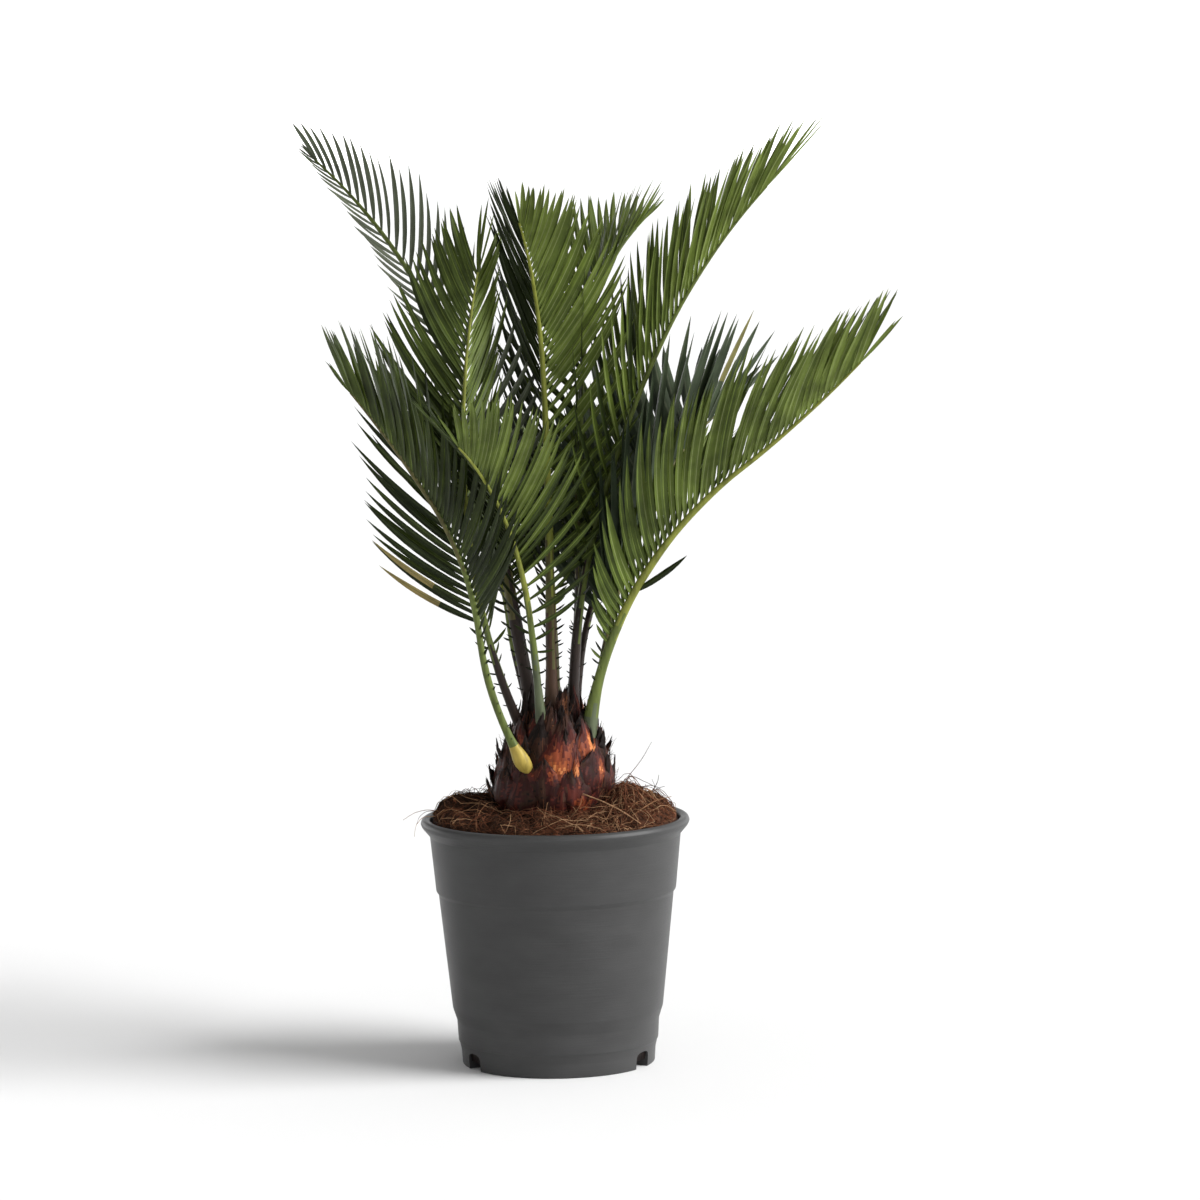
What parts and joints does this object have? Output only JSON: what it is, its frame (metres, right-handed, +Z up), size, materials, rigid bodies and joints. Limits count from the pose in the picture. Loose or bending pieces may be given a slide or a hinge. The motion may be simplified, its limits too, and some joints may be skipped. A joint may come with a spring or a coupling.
{
  "type": "potted sago palm",
  "caption": "Young sago palm with a short scaly trunk and arching feathery fronds, standing in soil in a round grey plastic nursery pot.",
  "frame": {"origin": "centre of the pot's flat underside, on the floor", "axes": "+Z up, +X to the plant's right and -Y towards the front, as pictured"},
  "size_m": [0.4142, 0.4375, 0.6542],
  "materials": {
    "pot_plastic": "dark grey moulded plastic with a soft sheen",
    "soil": "brown coir fibre",
    "bark": "dark red-brown leaf bases",
    "foliage": "glossy green leaflets on a yellow-green rib"
  },
  "bodies": {
    "root": {"pot": "pot_plastic", "soil": "soil", "trunk": "bark", "frond_back_left": "foliage", "frond_upright_left": "foliage", "frond_front": "foliage", "frond_front_left": "foliage", "frond_centre": "foliage", "frond_centre_back": "foliage", "frond_right": "foliage", "frond_upright_right": "foliage", "frond_back_right": "foliage", "frond_rear": "foliage", "frond_rear_left": "foliage", "frond_rear_right": "foliage"}
  },
  "joints": []
}
